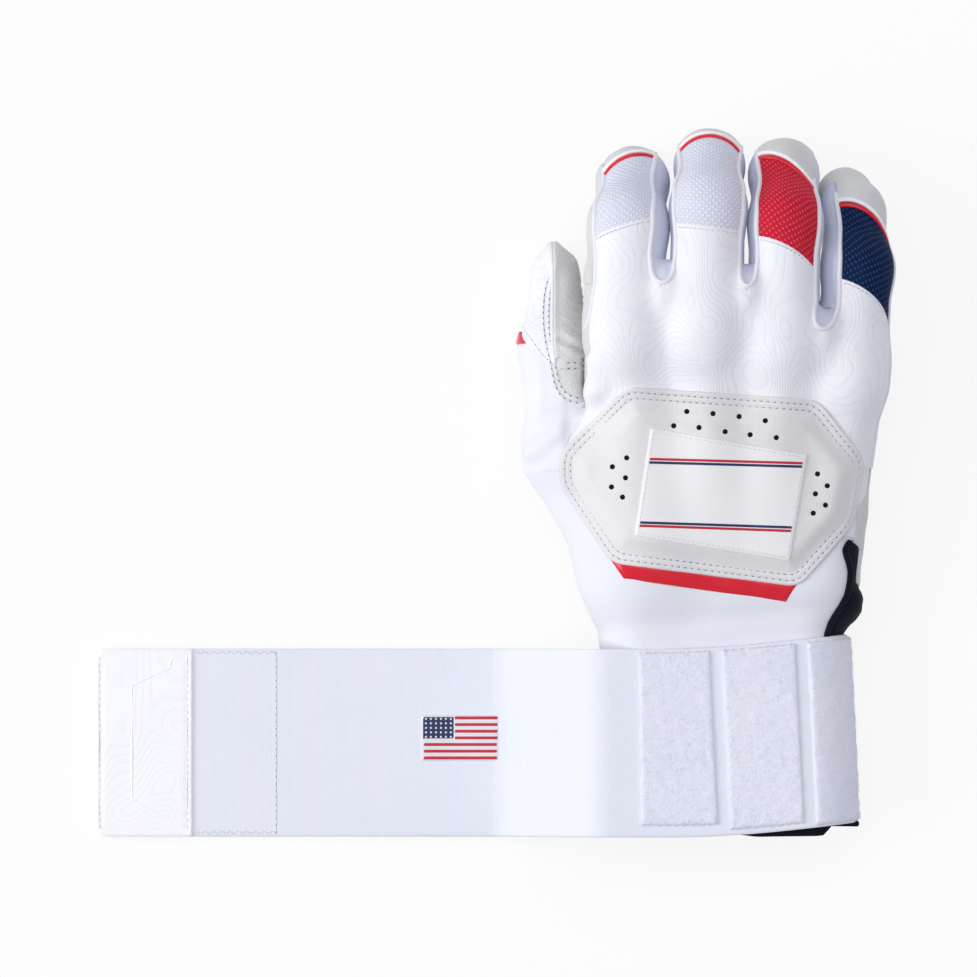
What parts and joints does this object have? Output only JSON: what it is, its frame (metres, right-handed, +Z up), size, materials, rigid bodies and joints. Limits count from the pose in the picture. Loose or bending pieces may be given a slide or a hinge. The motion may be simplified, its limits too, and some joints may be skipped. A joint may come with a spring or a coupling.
{
  "type": "batting glove",
  "caption": "Right-hand batting glove lying palm down, with a padded back, mesh finger inserts, curled fingers and an open wide wrist strap with hook-and-loop closure.",
  "frame": {"origin": "Middle of the flat underside of the wrist strap below the wrist, on the surface that the glove lies on.", "axes": "+X to the little-finger side (the loose strap runs to -X), +Y to the fingertips, +Z up, out of the back of the hand."},
  "size_m": [0.2689, 0.2387, 0.0615],
  "materials": {
    "white_leather": "embossed, matt",
    "grey_leather": "grained, matt",
    "palm_leather": "soft, matt",
    "white_knit": "fine knit, matt",
    "red_knit": "diamond mesh, satin",
    "navy_knit": "diamond mesh, satin",
    "red_trim": "glossy coated strip",
    "navy_cloth": "matt",
    "elastic": "ribbed weave, matt",
    "loop": "brushed loop pile, matt",
    "hook": "moulded hooks, matt",
    "foam": "closed-cell foam, matt"
  },
  "bodies": {
    "hand": {"back_panel": "white_leather", "wrist_panel": "white_knit", "palm_leather": "palm_leather", "palm_overlay": "palm_leather", "cuff_lining": "navy_cloth", "cuff_gusset": "navy_cloth", "gusset_binding": "navy_cloth", "pad_cover": "grey_leather", "pad_foam": "foam", "label_patch": "white_leather", "pad_accent": "red_trim", "thumb_base_patch": "palm_leather", "thumb_gusset": "white_knit", "thumb_accent": "red_trim", "strap_base": "elastic", "loop_panel_a": "loop", "loop_panel_b": "loop", "loop_panel_c": "loop", "fourchette_index_middle": "white_leather", "fourchette_middle_ring": "white_leather", "fourchette_ring_little": "white_leather"},
    "index_end": {"index_mesh": "white_knit", "index_accent": "red_trim", "index_piping": "white_leather", "index_tip": "palm_leather"},
    "middle_end": {"middle_mesh": "white_knit", "middle_accent": "red_trim", "middle_piping": "white_leather", "middle_tip": "palm_leather"},
    "ring_end": {"ring_mesh": "red_knit", "ring_accent": "red_trim", "ring_piping": "white_leather", "ring_tip": "palm_leather"},
    "little_end": {"little_mesh": "navy_knit", "little_accent": "red_trim", "little_piping": "white_leather", "little_tip": "palm_leather"},
    "thumb_end": {"thumb_back": "white_leather", "thumb_front": "palm_leather"},
    "strap_slope": {"strap_side": "elastic"},
    "strap_run": {"strap_loose": "elastic", "hook_strip": "hook", "flag_patch": "white_knit"},
    "strap_end": {"strap_tab": "white_leather", "hook_tab": "hook"}
  },
  "joints": [
    {"name": "index_flex", "type": "hinge", "parent": "hand", "child": "index_end", "pos_m": [-0.03704, 0.16896, 0.03049], "axis": [-0.9982, 0.0594, 0], "range_deg": [-40, 35], "deforming": ["index_mesh", "fourchette_index_middle"]},
    {"name": "middle_flex", "type": "hinge", "parent": "hand", "child": "middle_end", "pos_m": [-0.01044, 0.17476, 0.03258], "axis": [-0.9996, 0.0277, 0], "range_deg": [-40, 35], "deforming": ["middle_mesh", "fourchette_middle_ring"]},
    {"name": "ring_flex", "type": "hinge", "parent": "hand", "child": "ring_end", "pos_m": [0.01563, 0.17123, 0.03189], "axis": [-1, 0.0051, 0], "range_deg": [-40, 35], "deforming": ["ring_mesh", "fourchette_ring_little"]},
    {"name": "little_flex", "type": "hinge", "parent": "hand", "child": "little_end", "pos_m": [0.03962, 0.15816, 0.02672], "axis": [-0.9999, -0.016, 0], "range_deg": [-40, 35], "deforming": ["little_mesh"]},
    {"name": "thumb_flex", "type": "hinge", "parent": "hand", "child": "thumb_end", "pos_m": [-0.0502, 0.1268, 0.0165], "axis": [0, 0, -1], "range_deg": [0, 22]},
    {"name": "strap_fold", "type": "hinge", "parent": "hand", "child": "strap_slope", "pos_m": [-0.048, 0, 0.031], "axis": [0, -1, 0], "range_deg": [0, 46.68]},
    {"name": "strap_turn", "type": "hinge", "parent": "strap_slope", "child": "strap_run", "pos_m": [-0.0795, 0, 0.0013], "axis": [0, -1, 0], "range_deg": [0, 133.42]},
    {"name": "tab_turn", "type": "hinge", "parent": "strap_run", "child": "strap_end", "pos_m": [-0.184, 0, 0.0013], "axis": [0, -1, 0], "range_deg": [0, 101.1]}
  ],
  "couplings": [
    {"joint": "strap_turn", "follows": "strap_fold", "ratio": 2.8557},
    {"joint": "tab_turn", "follows": "strap_fold", "ratio": 2.1635}
  ]
}
